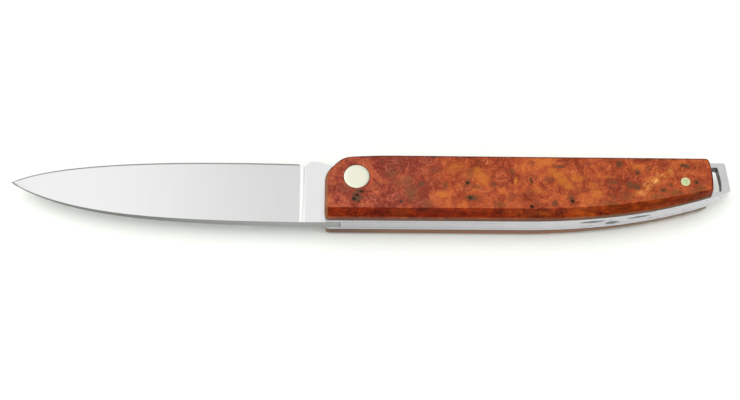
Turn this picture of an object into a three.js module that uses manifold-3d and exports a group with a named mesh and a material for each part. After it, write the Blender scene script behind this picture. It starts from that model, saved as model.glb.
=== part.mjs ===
// Folding pocket knife: a slip joint with one full flat ground blade.
// The blade turns on a pivot between two steel liners, and each liner carries a burl wood scale.
// A back spring closes the spine side, presses on the tang and runs on past the butt as a lanyard loop.
//
// Millimetres, +Z up. The knife lies open on its lower scale: the tip points along -X, the cutting
// edge faces +Y and the spine faces -Y. The origin is on the pivot's axis, on the face it lies on.

import * as THREE from 'three';
import { mergeVertices } from 'three/addons/utils/BufferGeometryUtils.js';
import Module from 'manifold-3d';

const wasm = await Module();
wasm.setup();

// Thicknesses of the plates, and the room left beside the plates that move between the liners.
const scaleThickness = 3.6;
const linerThickness = 1.3;
const springThickness = 3.2;
const loopThickness = 2.8;
const slideClearance = 0.05;

// Blade. Reaches are measured from the pivot's axis, heights from the line through it along X.
const bladeReach = 94.0;
const tipHeight = 1.33;
const bladeHeel = 15.8;
const edgeHeight = 6.85;
const tipThickness = 0.9;
const edgeThickness = 0.36;
const edgeBevel = 0.5;
const plungeLength = 1.8;
const choilRadius = 1.5;
const choilDepth = 1.15;
const choilReach = 14.3;

// Handles of the curves of the blade's edge and spine: how far each lies from the curve's own end,
// and at what height.
const edgeHeelHandle = { run: 29, height: 7.85 };
const edgeTipHandle = { run: 12, height: 7.85 };
const spineHeelHandle = { run: 34, height: -10.35 };
const spineTipHandle = { run: 17, height: -9.3 };

// Tang, its kick, and the angle that the blade folds through.
const closedAngle = 177;
const tangRadius = 5.7;
const tangFoot = 6.25;
const tangStep = 4.75;
const tangFootAngle = 50;
const tangWaistReach = 3.5;
const tangWaistDip = 0.3;
const tangNeckReach = 7.0;
const kickReach = 11.6;
const kickLength = 4.4;
const kickCrown = 2.0;
const kickFall = 0.45;
const seatGap = 0.05;

// Handle outline, measured from the pivot's axis. The spine side is level with the blade's spine.
// The front end slants off towards the opening side, and the rear end bulges a little.
const handleFront = 8.5;
const slantFootHeight = 1.15;
const slantTopReach = 3.6;
const slantTopHeight = 5.98;
const crestReach = 5.0;
const openingHeight = 6.5;
const openingRearHeight = 5.48;
const openingRearInset = 0.35;
const rearOverTip = 1.1;
const rearBulge = 0.45;
const rearBulgeHeight = 0.4;
const slantFootRadius = 2.6;
const slantTopRadius = 2.2;
const crestRadius = 6.0;
const rearBulgeRadius = 3.0;
const cornerRadius = 0.4;

// Spine side: a straight stretch that sags towards the bend, and a curve from there to the butt.
const spineDepth = 11.2;
const spineSag = 0.4;
const spineRearDepth = 4.5;
const bendLength = 51;
const bendHandleRun = 22;
const bendHandleSag = 0.25;

// Softened edge and long facet of each scale.
const edgeRounding = 0.5;
const facetWidth = 2.15;
const facetDrop = 1.2;
const facetRearWidth = 0.8;
const facetRearDrop = 2.55;

// Back spring: its pad on the tang, its arm, which ends ahead of the bend in the spine side, and
// the ramp up to the block round the rear pin. The centre pin lies behind the end of the arm. The
// arm's front end leans back by the relief, so that it clears the tang's step as the arm flexes.
const springHeight = 4.5;
const padReach = 14;
const padRamp = 10;
const armSetback = 3.8;
const noseRelief = 0.12;
const centrePinSetback = 5.7;
const pinWall = 0.65;
const blockFront = 0.8;
const blockRampRun = 13;
const blockRampRadius = 6;

// Lanyard loop that the back spring ends in. Its rear bar is slimmest at the waist, where the hole
// is longest: the bar leans in above the waist and is tucked in below it.
const loopReach = 5.8;
const loopTopInset = 0.6;
const loopHeight = 6.48;
const loopWall = 1.35;
const loopFloorLift = 0.45;
const loopFloorWall = 0.85;
const loopBarWidth = 2.15;
const loopBarLean = 0.7;
const loopBarTuck = 0.25;
const loopBarWaist = 0.7;
const loopInnerWall = 1.15;
const loopFrontInset = 0.3;
const loopRearRadius = 0.8;
const loopHoleRadius = 0.4;
const loopHoleBendRadius = 2.0;
const tipGap = 0.45;

// Pins, pivot bushing and rosettes.
const pivotPinRadius = 2.0;
const bushingRadius = 2.7;
const rosetteRadius = 3.4;
const rosetteThickness = 1.6;
const rosetteSocket = 0.8;
const centrePinRadius = 1.0;
const rearPinRadius = 1.25;
const rearPinFromEnd = 7.3;
const rearPinDepth = 1.6;
const pinBevel = 0.12;
const pinClearance = 0.03;

// Smoothness of the curves. The blade's sections crowd towards the tip, where its curves turn.
const curveSteps = 12;
const roundSteps = 48;
const bladeSteps = 18;
const plungeSteps = 4;
const tipCrowding = 1.4;

// How far a cutter reaches past what it cuts.
const overcut = 1;

// Heights of the plates' faces above the face that the knife lies on.
const lowerLinerZ = scaleThickness;
const springZ = lowerLinerZ + linerThickness;
const upperLinerZ = springZ + springThickness;
const upperScaleZ = upperLinerZ + linerThickness;
const handleThickness = upperScaleZ + scaleThickness;
const bladeThickness = springThickness - 2 * slideClearance;
const handleRear = bladeReach + rearOverTip;

// Corners of the spine side, which the liners, the scales and the spring share.
const spineBend = new THREE.Vector2(handleRear - bendLength, -(spineDepth + spineSag));
const bendHandle = new THREE.Vector2(handleRear - bendHandleRun, spineBend.y - bendHandleSag);
const spineRear = new THREE.Vector2(handleRear, -spineRearDepth);
const rearPin = new THREE.Vector2(handleRear - rearPinFromEnd, -rearPinDepth);

// Height of the spine side along its straight stretch, from the front to the bend.
function spineHeight(x) {
  const along = (x + handleFront) / (spineBend.x + handleFront);
  return THREE.MathUtils.lerp(-spineDepth, spineBend.y, along);
}

// Closed solid that manifold can join and cut.
function solid(geometry) {
  const bare = geometry.clone();
  bare.deleteAttribute('normal');
  bare.deleteAttribute('uv');
  const merged = mergeVertices(bare);
  const vertProperties = new Float32Array(merged.attributes.position.array);
  const triVerts = new Uint32Array(merged.index.array);
  return new wasm.Manifold(new wasm.Mesh({ numProp: 3, vertProperties, triVerts }));
}

// Geometry of a joined or cut solid.
function geometryOf(body) {
  const mesh = body.getMesh();
  const geometry = new THREE.BufferGeometry();
  geometry.setAttribute('position', new THREE.BufferAttribute(mesh.vertProperties, 3));
  geometry.setIndex(new THREE.BufferAttribute(mesh.triVerts, 1));
  return geometry;
}

// What is left of a geometry after the others are cut out of it.
function cut(geometry, ...cutters) {
  const whole = solid(geometry);
  return geometryOf(cutters.reduce((body, cutter) => body.subtract(solid(cutter)), whole));
}

// Two geometries that share a face or some space, joined.
function join(first, second) {
  return geometryOf(solid(first).add(solid(second)));
}

// Flat plate of a shape, standing on z.
function plate(shape, thickness, z = 0) {
  const options = { depth: thickness, bevelEnabled: false, curveSegments: curveSteps };
  return new THREE.ExtrudeGeometry(shape, options).translate(0, 0, z);
}

// Upright round rod, centred on x and y and standing on z.
function rod(radius, length, x = 0, y = 0, z = 0) {
  const geometry = new THREE.CylinderGeometry(radius, radius, length, roundSteps);
  return geometry.rotateX(Math.PI / 2).translate(x, y, z + length / 2);
}

// Cutter for a pin's hole through a plate that stands on z = 0.
function hole(pinRadius, thickness, x, y) {
  return rod(pinRadius + pinClearance, thickness + 2 * overcut, x, y, -overcut);
}

// Turned piece about +Z, from a profile of [radius, height] pairs that starts and ends on the axis.
function turned(profile) {
  const points = profile.map(([radius, height]) => new THREE.Vector2(radius, height));
  return new THREE.LatheGeometry(points, roundSteps).rotateX(Math.PI / 2);
}

// The same geometry seen in a mirror that lies flat on z = 0.
function mirrored(geometry) {
  const copy = geometry.clone().scale(1, 1, -1);
  const index = copy.index.array;
  for (let i = 0; i < index.length; i += 3) {
    [index[i], index[i + 1]] = [index[i + 1], index[i]];
  }
  return copy;
}

// Carries a path on from the first to the last of a list of [x, y, radius] points. Each point
// between them is a corner that is rounded over the radius it gives.
function carryOn(path, list) {
  const points = list.map(([x, y]) => new THREE.Vector2(x, y));
  for (let i = 1; i + 1 < list.length; i += 1) {
    const corner = points[i];
    const radius = list[i][2] ?? 0;
    const start = points[i - 1].clone().sub(corner).setLength(radius).add(corner);
    const end = points[i + 1].clone().sub(corner).setLength(radius).add(corner);
    path.lineTo(start.x, start.y);
    if (radius > 0) path.quadraticCurveTo(corner.x, corner.y, end.x, end.y);
  }
  const last = points[list.length - 1];
  path.lineTo(last.x, last.y);
  return path;
}

// Draws the spine side from x to the butt.
function spineSide(x) {
  const shape = new THREE.Shape();
  shape.moveTo(x, spineHeight(x));
  shape.lineTo(spineBend.x, spineBend.y);
  shape.quadraticCurveTo(bendHandle.x, bendHandle.y, spineRear.x, spineRear.y);
  return shape;
}

// Solid through rings of points that lie one behind the other, closed by a flat face at each end,
// or by a point at the last one. Seen from the first ring's side, the rings run clockwise.
function loft(rings, point = null) {
  const size = rings[0].length;
  const positions = rings.flat().flatMap((p) => [p.x, p.y, p.z]);
  const faces = [];
  for (let r = 0; r + 1 < rings.length; r += 1) {
    for (let i = 0; i < size; i += 1) {
      const a = r * size + i;
      const b = r * size + ((i + 1) % size);
      faces.push(a, b, b + size);
      faces.push(a, b + size, a + size);
    }
  }
  const last = (rings.length - 1) * size;
  for (let i = 1; i + 1 < size; i += 1) {
    faces.push(0, i + 1, i);
    if (!point) faces.push(last, last + i, last + i + 1);
  }
  if (point) {
    positions.push(point.x, point.y, point.z);
    for (let i = 0; i < size; i += 1) {
      faces.push(last + i, last + ((i + 1) % size), last + size);
    }
  }
  const geometry = new THREE.BufferGeometry();
  geometry.setAttribute('position', new THREE.Float32BufferAttribute(positions, 3));
  geometry.setIndex(faces);
  return geometry;
}

// Ground part of the blade, from the full thickness at the plunge line to the tip. Its two faces
// run straight from the spine to a small bevel at the edge. z = 0 is the blade's middle plane.
function groundBlade() {
  const tip = new THREE.Vector3(-bladeReach, tipHeight, 0);
  const plungeEnd = -(bladeHeel - plungeLength);
  const curve = (height, heelHandle, tipHandle) =>
    new THREE.CubicBezierCurve(
      new THREE.Vector2(-bladeHeel, height),
      new THREE.Vector2(-bladeHeel - heelHandle.run, heelHandle.height),
      new THREE.Vector2(-bladeReach + tipHandle.run, tipHandle.height),
      new THREE.Vector2(tip.x, tip.y),
    );
  const edge = curve(edgeHeight, edgeHeelHandle, edgeTipHandle);
  const spine = curve(-spineDepth, spineHeelHandle, spineTipHandle);
  const section = (back, front, backHalf, frontHalf, bevel) => {
    const shoulder = back.clone().sub(front).setLength(bevel).add(front);
    return [
      new THREE.Vector3(back.x, back.y, backHalf),
      new THREE.Vector3(shoulder.x, shoulder.y, frontHalf),
      new THREE.Vector3(front.x, front.y, 0),
      new THREE.Vector3(shoulder.x, shoulder.y, -frontHalf),
      new THREE.Vector3(back.x, back.y, -backHalf),
    ];
  };
  const heelHalf = bladeThickness / 2;
  const edgeHalf = edgeThickness / 2;
  const rings = [];
  for (let i = 0; i <= plungeSteps; i += 1) {
    const turn = (Math.PI / 2) * (1 - i / plungeSteps);
    const x = THREE.MathUtils.lerp(-bladeHeel, plungeEnd, Math.sin(turn));
    const swell = 1 - Math.cos(turn);
    const frontHalf = THREE.MathUtils.lerp(edgeHalf, heelHalf, swell);
    const back = new THREE.Vector2(x, -spineDepth);
    const front = new THREE.Vector2(x, edgeHeight);
    rings.push(section(back, front, heelHalf, frontHalf, edgeBevel));
  }
  for (let i = 1; i < bladeSteps; i += 1) {
    const t = 1 - (1 - i / bladeSteps) ** tipCrowding;
    const back = spine.getPoint(t);
    const front = edge.getPoint(t);
    const backHalf = THREE.MathUtils.lerp(heelHalf, tipThickness / 2, t);
    const bevel = Math.min(edgeBevel, back.distanceTo(front) / 3);
    rings.push(section(back, front, backHalf, Math.min(edgeHalf, backHalf / 2), bevel));
  }
  return loft(rings, tip);
}

// Full thickness part of the blade: the ricasso with its kick, and the tang round the pivot. Its
// foot and step meet the back spring when the knife is open, and the kick rests on it when shut.
function tangPlate() {
  const front = -(bladeHeel - plungeLength);
  const rise = THREE.MathUtils.degToRad(180 - closedAngle);
  const seat = tangFoot + seatGap - slideClearance;
  const kickHeight = (seat + kickReach * Math.sin(rise)) / Math.cos(rise);
  const kickFront = -kickReach - kickLength / 2;
  const kickRear = -kickReach + kickLength / 2;
  const kickSide = kickHeight - kickFall;
  const footEnd = THREE.MathUtils.degToRad(-tangFootAngle);
  const shape = new THREE.Shape();
  shape.moveTo(front, -spineDepth);
  shape.lineTo(-tangStep, spineHeight(-tangStep));
  shape.lineTo(-tangStep, -tangFoot);
  shape.lineTo(0, -tangFoot);
  shape.absarc(0, 0, tangRadius, footEnd, Math.PI / 2, false);
  shape.quadraticCurveTo(-tangWaistReach, tangRadius - tangWaistDip, -tangNeckReach, tangRadius);
  shape.lineTo(kickRear, kickSide);
  shape.quadraticCurveTo(-kickReach + kickCrown / 2, kickHeight, -kickReach, kickHeight);
  shape.quadraticCurveTo(-kickReach - kickCrown / 2, kickHeight, kickFront, kickSide);
  shape.lineTo(front, edgeHeight - choilDepth / 2);
  shape.closePath();
  return plate(shape, bladeThickness, -bladeThickness / 2);
}

function bladeGeometry() {
  const choilY = edgeHeight - choilDepth + choilRadius;
  const depth = springThickness;
  const choil = rod(choilRadius, depth, -choilReach, choilY, -depth / 2);
  const bore = rod(bushingRadius + pinClearance, depth, 0, 0, -depth / 2);
  return cut(join(groundBlade(), tangPlate()), choil, bore);
}

// Outline of the liners and scales. Its sharp corners allow for the softened edge of the scales.
function handleShape() {
  const corner = cornerRadius + edgeRounding * Math.SQRT2;
  const start = -handleFront + 2 * corner;
  return carryOn(spineSide(start), [
    [spineRear.x, spineRear.y],
    [handleRear + rearBulge, rearBulgeHeight, rearBulgeRadius],
    [handleRear - openingRearInset, openingRearHeight, corner],
    [crestReach, openingHeight, crestRadius],
    [-slantTopReach, slantTopHeight, slantTopRadius],
    [-handleFront, slantFootHeight, slantFootRadius],
    [-handleFront, spineHeight(-handleFront), corner],
    [start, spineHeight(start)],
  ]);
}

// Cutter for the long facet between a scale's outer face and its spine side. It follows the spine
// side. Past the bend it gets steeper at a steady rate, and narrower mostly near the butt. z = 0 is
// the scale's inner face. The cutter's flat side runs through both edges of the facet and past them.
function facetCutter() {
  const bend = new THREE.QuadraticBezierCurve(spineBend, bendHandle, spineRear);
  const ahead = -handleFront - facetWidth;
  const front = new THREE.Vector2(ahead, spineHeight(ahead));
  const stations = [{ point: front, tangent: spineBend.clone().sub(front).normalize(), fade: 0 }];
  for (let i = 0; i <= curveSteps; i += 1) {
    const t = i / curveSteps;
    stations.push({ point: bend.getPoint(t), tangent: bend.getTangent(t), fade: t });
  }
  const beyond = spineRear.clone().addScaledVector(bend.getTangent(1), 2 * facetRearWidth);
  stations.push({ point: beyond, tangent: bend.getTangent(1), fade: 1 });
  const rings = stations.map(({ point, tangent, fade }) => {
    const inward = new THREE.Vector2(-tangent.y, tangent.x);
    const width = THREE.MathUtils.lerp(facetWidth, facetRearWidth, fade ** 3);
    const drop = THREE.MathUtils.lerp(facetDrop, facetRearDrop, fade);
    const low = point.clone().addScaledVector(inward, -width);
    const high = point.clone().addScaledVector(inward, 2 * width);
    return [
      new THREE.Vector3(low.x, low.y, scaleThickness - 2 * drop),
      new THREE.Vector3(high.x, high.y, scaleThickness + drop),
      new THREE.Vector3(low.x, low.y, scaleThickness + drop),
    ];
  });
  return loft(rings);
}

// Upper scale, with its inner face on z = 0. The lower one is its mirror image.
function scaleGeometry() {
  const blank = new THREE.ExtrudeGeometry(handleShape(), {
    depth: scaleThickness,
    bevelThickness: edgeRounding,
    bevelSize: edgeRounding,
    bevelOffset: -edgeRounding,
    bevelSegments: 2,
    curveSegments: curveSteps,
  });
  blank.translate(0, 0, -edgeRounding);
  const waste = new THREE.BoxGeometry(4 * handleRear, 4 * spineDepth, 2 * scaleThickness);
  waste.translate(0, 0, -scaleThickness);
  const seat = rosetteThickness + pinClearance;
  return cut(
    blank,
    waste,
    facetCutter(),
    hole(pivotPinRadius, scaleThickness, 0, 0),
    rod(rosetteRadius + pinClearance, seat + overcut, 0, 0, scaleThickness - seat),
    hole(rearPinRadius, scaleThickness, rearPin.x, rearPin.y),
  );
}

function linerGeometry() {
  return cut(
    plate(handleShape(), linerThickness),
    hole(pivotPinRadius, linerThickness, 0, 0),
    hole(centrePinRadius, linerThickness, centrePinX, centrePinY),
    hole(rearPinRadius, linerThickness, rearPin.x, rearPin.y),
  );
}

// The spring is one strip on the real knife. Its arm ahead of the centre pin flexes, so it is a
// solid of its own, and the two meet face to face at the end of the arm.
const noseX = -tangStep + slideClearance;
const armEnd = spineBend.x - armSetback;
const innerFace = -(tangFoot + seatGap);
const armInner = spineHeight(armEnd) + springHeight;
const centrePinX = armEnd + centrePinSetback;
const centrePinY = spineHeight(centrePinX) + springHeight / 2;

function springArmGeometry() {
  const shape = new THREE.Shape();
  shape.moveTo(noseX, spineHeight(noseX));
  shape.lineTo(armEnd, spineHeight(armEnd));
  shape.lineTo(armEnd, armInner);
  shape.lineTo(padReach + padRamp, armInner);
  shape.quadraticCurveTo(padReach + padRamp / 2, armInner, padReach, innerFace);
  shape.lineTo(noseX + noseRelief, innerFace);
  shape.closePath();
  return plate(shape, springThickness - 2 * slideClearance);
}

// Rear of the spring, with the block round the rear pin, up to where the scales end.
function springRootShape() {
  const blockTop = rearPin.y + rearPinRadius + pinWall;
  const blockEnd = rearPin.x - blockFront;
  return carryOn(spineSide(armEnd), [
    [spineRear.x, spineRear.y],
    [spineRear.x, blockTop],
    [blockEnd, blockTop],
    [blockEnd - blockRampRun, armInner, blockRampRadius],
    [armEnd, armInner],
    [armEnd, spineHeight(armEnd)],
  ]);
}

// Lanyard loop, a thinner frame that carries on from the spring's root. Its lower side carries on
// from the spine side, and rises a little faster.
function loopShape() {
  const slope = (spineRear.y - bendHandle.y) / (spineRear.x - bendHandle.x);
  const front = bladeReach + tipGap;
  const rear = handleRear + loopReach;
  const floorFront = spineRear.y + slope * (front - spineRear.x);
  const floor = spineRear.y + slope * loopReach + loopFloorLift;
  const shape = new THREE.Shape();
  shape.moveTo(front, rearPin.y);
  carryOn(shape, [
    [front, rearPin.y],
    [front, floorFront],
    [rear, floor, loopRearRadius],
    [rear - loopTopInset, loopHeight, loopRearRadius],
    [handleRear + loopFrontInset, loopHeight],
    [front, openingRearHeight],
    [front, rearPin.y],
  ]);
  const holeFront = front + loopInnerWall;
  const holeRear = rear - loopBarWidth;
  const underHole = THREE.MathUtils.lerp(floor, floorFront, loopBarWidth / (rear - front));
  const holeFloor = underHole + loopFloorWall;
  const holeRoof = loopHeight - loopWall;
  const hollow = new THREE.Path();
  hollow.moveTo(holeFront, rearBulgeHeight);
  carryOn(hollow, [
    [holeFront, rearBulgeHeight],
    [holeFront, holeRoof, loopHoleRadius],
    [holeRear - loopBarLean, holeRoof, loopHoleRadius],
    [holeRear, loopBarWaist, loopHoleBendRadius],
    [holeRear - loopBarTuck, holeFloor, loopHoleRadius],
    [holeFront, holeFloor, loopHoleRadius],
    [holeFront, rearBulgeHeight],
  ]);
  shape.holes.push(hollow);
  return shape;
}

function springRootGeometry() {
  const loopZ = (springThickness - loopThickness) / 2;
  const root = plate(springRootShape(), springThickness);
  return cut(
    join(root, plate(loopShape(), loopThickness, loopZ)),
    hole(centrePinRadius, springThickness, centrePinX, centrePinY),
    hole(rearPinRadius, springThickness, rearPin.x, rearPin.y),
  );
}

// Pin with lightly bevelled ends, standing on z = 0.
function pinGeometry(radius, length) {
  return turned([
    [0, 0],
    [radius - pinBevel, 0],
    [radius, pinBevel],
    [radius, length - pinBevel],
    [radius - pinBevel, length],
    [0, length],
  ]);
}

// Disc over the pivot pin's end, let in flush with the scale. z = 0 is its inner face.
function rosetteGeometry() {
  const socketRadius = pivotPinRadius + pinClearance;
  return turned([
    [0, rosetteSocket],
    [socketRadius, rosetteSocket],
    [socketRadius, 0],
    [rosetteRadius, 0],
    [rosetteRadius, rosetteThickness - pinBevel],
    [rosetteRadius - pinBevel, rosetteThickness],
    [0, rosetteThickness],
  ]);
}

// Sleeve that the blade turns on. It is as long as the gap between the liners.
function bushingGeometry() {
  return cut(rod(bushingRadius, springThickness), hole(pivotPinRadius, springThickness, 0, 0));
}

const satinSteel = new THREE.MeshStandardMaterial({ color: 0xd9dadb, roughness: 0.32, metalness: 1 });
const springSteel = new THREE.MeshStandardMaterial({ color: 0xc6c8cb, roughness: 0.2, metalness: 1 });
const linerSteel = new THREE.MeshStandardMaterial({ color: 0xbfc1c5, roughness: 0.25, metalness: 1 });
const burlWood = new THREE.MeshStandardMaterial({ color: 0xa65232, roughness: 0.35, metalness: 0 });
const paleSilver = new THREE.MeshStandardMaterial({ color: 0xf0ecda, roughness: 0.3, metalness: 1 });
const pinMetal = new THREE.MeshStandardMaterial({ color: 0xe1cda0, roughness: 0.3, metalness: 1 });

// One named piece at its height in the stack.
function piece(name, geometry, material, z, x = 0, y = 0) {
  const mesh = new THREE.Mesh(geometry, material.clone());
  mesh.name = name;
  mesh.position.set(x, y, z);
  return mesh;
}

const knife = new THREE.Group();

const handle = new THREE.Group();
const liner = linerGeometry();
const scale = scaleGeometry();
const rosette = rosetteGeometry();
const pivotPinLength = handleThickness - 2 * (rosetteThickness - rosetteSocket) - 2 * slideClearance;
handle.add(
  piece('lower_scale', mirrored(scale), burlWood, lowerLinerZ),
  piece('lower_liner', liner, linerSteel, lowerLinerZ),
  piece('back_spring', springRootGeometry(), springSteel, springZ),
  piece('upper_liner', liner, linerSteel, upperLinerZ),
  piece('upper_scale', scale, burlWood, upperScaleZ),
  piece('pivot_bushing', bushingGeometry(), pinMetal, springZ),
  piece(
    'pivot_pin',
    pinGeometry(pivotPinRadius, pivotPinLength),
    springSteel,
    (handleThickness - pivotPinLength) / 2,
  ),
  piece('lower_rosette', mirrored(rosette), paleSilver, rosetteThickness),
  piece('upper_rosette', rosette, paleSilver, handleThickness - rosetteThickness),
  piece(
    'centre_pin',
    pinGeometry(centrePinRadius, 2 * linerThickness + springThickness),
    springSteel,
    lowerLinerZ,
    centrePinX,
    centrePinY,
  ),
  piece('rear_pin', pinGeometry(rearPinRadius, handleThickness), pinMetal, 0, rearPin.x, rearPin.y),
);
knife.add(handle);

const springArm = new THREE.Group();
springArm.add(piece('back_spring_arm', springArmGeometry(), springSteel, springZ + slideClearance));
knife.add(springArm);

// The blade's group stands on the pivot's axis, at the middle of the gap between the liners.
const blade = new THREE.Group();
blade.position.z = springZ + springThickness / 2;
blade.add(piece('blade', bladeGeometry(), satinSteel, 0));
knife.add(blade);

export default knife;
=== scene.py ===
import math

import bpy
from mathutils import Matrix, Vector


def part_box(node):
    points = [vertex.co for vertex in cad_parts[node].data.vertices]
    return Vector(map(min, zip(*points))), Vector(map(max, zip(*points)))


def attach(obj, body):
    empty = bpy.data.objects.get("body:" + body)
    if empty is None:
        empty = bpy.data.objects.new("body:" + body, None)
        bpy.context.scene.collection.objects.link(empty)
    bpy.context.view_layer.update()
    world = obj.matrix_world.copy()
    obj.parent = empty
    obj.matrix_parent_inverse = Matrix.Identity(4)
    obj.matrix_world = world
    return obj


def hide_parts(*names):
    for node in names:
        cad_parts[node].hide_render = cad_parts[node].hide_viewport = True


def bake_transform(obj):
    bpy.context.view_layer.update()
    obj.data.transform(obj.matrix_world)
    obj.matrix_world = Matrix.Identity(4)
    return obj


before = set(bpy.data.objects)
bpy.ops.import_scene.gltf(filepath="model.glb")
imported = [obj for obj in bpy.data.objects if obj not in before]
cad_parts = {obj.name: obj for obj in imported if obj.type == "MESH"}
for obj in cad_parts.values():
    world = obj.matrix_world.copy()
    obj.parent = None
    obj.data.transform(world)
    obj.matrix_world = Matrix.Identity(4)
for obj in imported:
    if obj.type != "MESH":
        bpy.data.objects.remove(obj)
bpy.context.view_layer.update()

# The picture: the knife lies open on a white table, and is seen from above its spine side.
# The camera stands where the photograph's did, and looks down at the middle of the knife.
SENSOR_WIDTH = 36.0
PICTURE_WIDTH = 740.0
FOCAL_LENGTH_IN_PIXELS = 1450.0
camera_data = bpy.data.cameras.new("camera")
camera_data.sensor_width = SENSOR_WIDTH
camera_data.lens = SENSOR_WIDTH * FOCAL_LENGTH_IN_PIXELS / PICTURE_WIDTH
camera_data.clip_start = 0.01
camera = bpy.data.objects.new("camera", camera_data)
camera.location = (0.00358, -0.17080, 0.36110)
camera.rotation_euler = (math.radians(25.2), 0.0, 0.0)
bpy.context.scene.collection.objects.link(camera)
bpy.context.scene.camera = camera
bpy.context.scene.view_settings.view_transform = "Standard"


# The room: a white light tent, with its lamp above and behind the knife and a weak fill in front.
# Polished steel mirrors the tent's walls, which are more even than that light. They are brighter
# to the left, up to a limit, and darker towards the front.
class Wire:
    """One value on its way through a material. Sums on wires place Math nodes."""

    def __init__(self, tree, socket=None):
        self.tree = tree
        self.socket = socket

    def node(self, kind, settings=None, sockets=None, output=0):
        """Places a node: its settings first, then the values or wires of its sockets."""
        made = self.tree.nodes.new(kind)
        for name, value in (settings or {}).items():
            if name == "stops":
                stops = made.color_ramp.elements
                while len(stops) < len(value):
                    stops.new(1.0)
                for stop, (position, colour) in zip(stops, value):
                    stop.position = position
                    stop.color = (*colour, 1.0)
            else:
                setattr(made, name, value)
        for name, value in (sockets or {}).items():
            socket = made.inputs[name]
            if isinstance(value, Wire):
                self.tree.links.new(value.socket, socket)
            else:
                socket.default_value = value
        return Wire(self.tree, made.outputs[output])

    def math(self, operation, *values):
        """A Math node on wires and numbers."""
        return self.node("ShaderNodeMath", {"operation": operation}, dict(enumerate(values)))

    def __add__(self, other):
        return self.math("ADD", self, other)

    def __radd__(self, other):
        return self.math("ADD", other, self)

    def __sub__(self, other):
        return self.math("SUBTRACT", self, other)

    def __rsub__(self, other):
        return self.math("SUBTRACT", other, self)

    def __mul__(self, other):
        return self.math("MULTIPLY", self, other)

    def __rmul__(self, other):
        return self.math("MULTIPLY", other, self)

    def __abs__(self):
        return self.math("ABSOLUTE", self)

    def at_least(self, floor):
        return self.math("MAXIMUM", self, floor)

    def at_most(self, ceiling):
        return self.math("MINIMUM", self, ceiling)

    def rise(self, low, high, top=1.0):
        """0 below low and top above high, with a soft step. It falls where low is above high."""
        return self.node(
            "ShaderNodeMapRange",
            {"interpolation_type": "SMOOTHSTEP"},
            {"Value": self, "From Min": low, "From Max": high, "To Max": top},
        )

    def band(self, start, full, fading, end):
        """1 between full and fading, and 0 before start and after end, with soft steps."""
        return self.rise(start, full) * self.rise(end, fading)

    def vector(self, operation, *values, output="Vector", **sockets):
        """Vector Math with this wire as its first vector."""
        inputs = dict(enumerate((self, *values)))
        inputs.update(sockets)
        return self.node("ShaderNodeVectorMath", {"operation": operation}, inputs, output)

    def along(self, axis):
        """This place's X, Y or Z."""
        return self.node("ShaderNodeSeparateXYZ", {}, {0: self}, axis)

    def noise(self, scale, detail, roughness, output="Fac"):
        """Noise at this wire's place, with scale in spots for each millimetre."""
        return self.node(
            "ShaderNodeTexNoise",
            {},
            {"Vector": self, "Scale": scale, "Detail": detail, "Roughness": roughness},
            output,
        )

    def tint(self, mask, colour):
        """This wire's colour, with another colour laid over it where the mask is 1."""
        over = colour if isinstance(colour, Wire) else (*colour, 1.0)
        return self.node("ShaderNodeMix", {"data_type": "RGBA"}, {0: mask, 6: self, 7: over}, 2)

    def shade(self, amount):
        """This wire's colour made darker or lighter by a factor."""
        grey = self.node("ShaderNodeCombineXYZ", {}, {0: amount, 1: amount, 2: amount})
        return self.vector("MULTIPLY", grey)


def towards(heading, *direction):
    """How squarely a heading points in a direction: 1 where they are the same."""
    return heading.vector("DOT_PRODUCT", direction, output="Value")


room = bpy.data.worlds.new("room")
room.use_nodes = True
room.cycles.sampling_method = "NONE"
tent = Wire(room.node_tree)
heading = tent.node("ShaderNodeTexCoord", output="Generated")
lamp = towards(heading, -0.10, 0.06, 0.99).at_least(0.0)
lamp = lamp.math("POWER", lamp, 8.0)
fill = towards(heading, 0.0, -0.87, 0.5).rise(0.0, 1.0, 0.4)
lit = 0.71 + 3.3 * lamp + fill
left_wall = towards(heading, -0.75, 0.05, 0.66).rise(0.15, 1.0).at_most(0.78)
back_wall = towards(heading, 0.0, 1.0, 0.0).rise(-0.75, 0.10).at_least(0.65)
mirrored = (0.72 + 1.05 * left_wall) * back_wall
in_mirror = tent.node("ShaderNodeLightPath", output="Is Glossy Ray")
brightness = lit + in_mirror * (mirrored - lit)
backdrop = room.node_tree.nodes["Background"]
room.node_tree.links.new(brightness.socket, backdrop.inputs["Strength"])
backdrop.inputs["Color"].default_value = (1.0, 1.0, 0.99, 1.0)
bpy.context.scene.world = room


# Studio table: a plain white board, larger than anything that the pictures show.
# It isn't part of the knife, which lies a hair's breadth above it.
MM = 0.001


def new_finish(name, **constants):
    """A material with one Principled shader, and the wire of places in millimetres."""
    finish = bpy.data.materials.new(name)
    finish.use_nodes = True
    tree = finish.node_tree
    shader = tree.nodes["Principled BSDF"]
    for socket, value in constants.items():
        shader.inputs[socket.replace("_", " ")].default_value = value
    place = Wire(tree).node("ShaderNodeTexCoord", output="Object")
    return finish, shader, place.vector("SCALE", Scale=1.0 / MM)


bpy.ops.object.select_all(action="DESELECT")
bpy.ops.mesh.primitive_plane_add(size=6.0, location=(0.0, 0.0, -0.02 * MM))
table = bpy.context.object
table.name = "table"
white_board, *_ = new_finish(
    "white_board",
    Base_Color=(0.765, 0.79, 0.755, 1.0),
    Roughness=0.9,
    Specular_IOR_Level=0.1,
)
table.data.materials.append(white_board)


# Liners: two plates of hard steel, one on each side of the blade's slot.
# They are cut to the handle's outline, drilled for the three pins, and polished flush with it.
SAME_PLACE = 0.002 * MM
SAME_PLANE = math.radians(0.3)
EASED_BY_WHEEL = 0.04 * MM
LINE_DEPTH = 0.004 * MM
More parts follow.
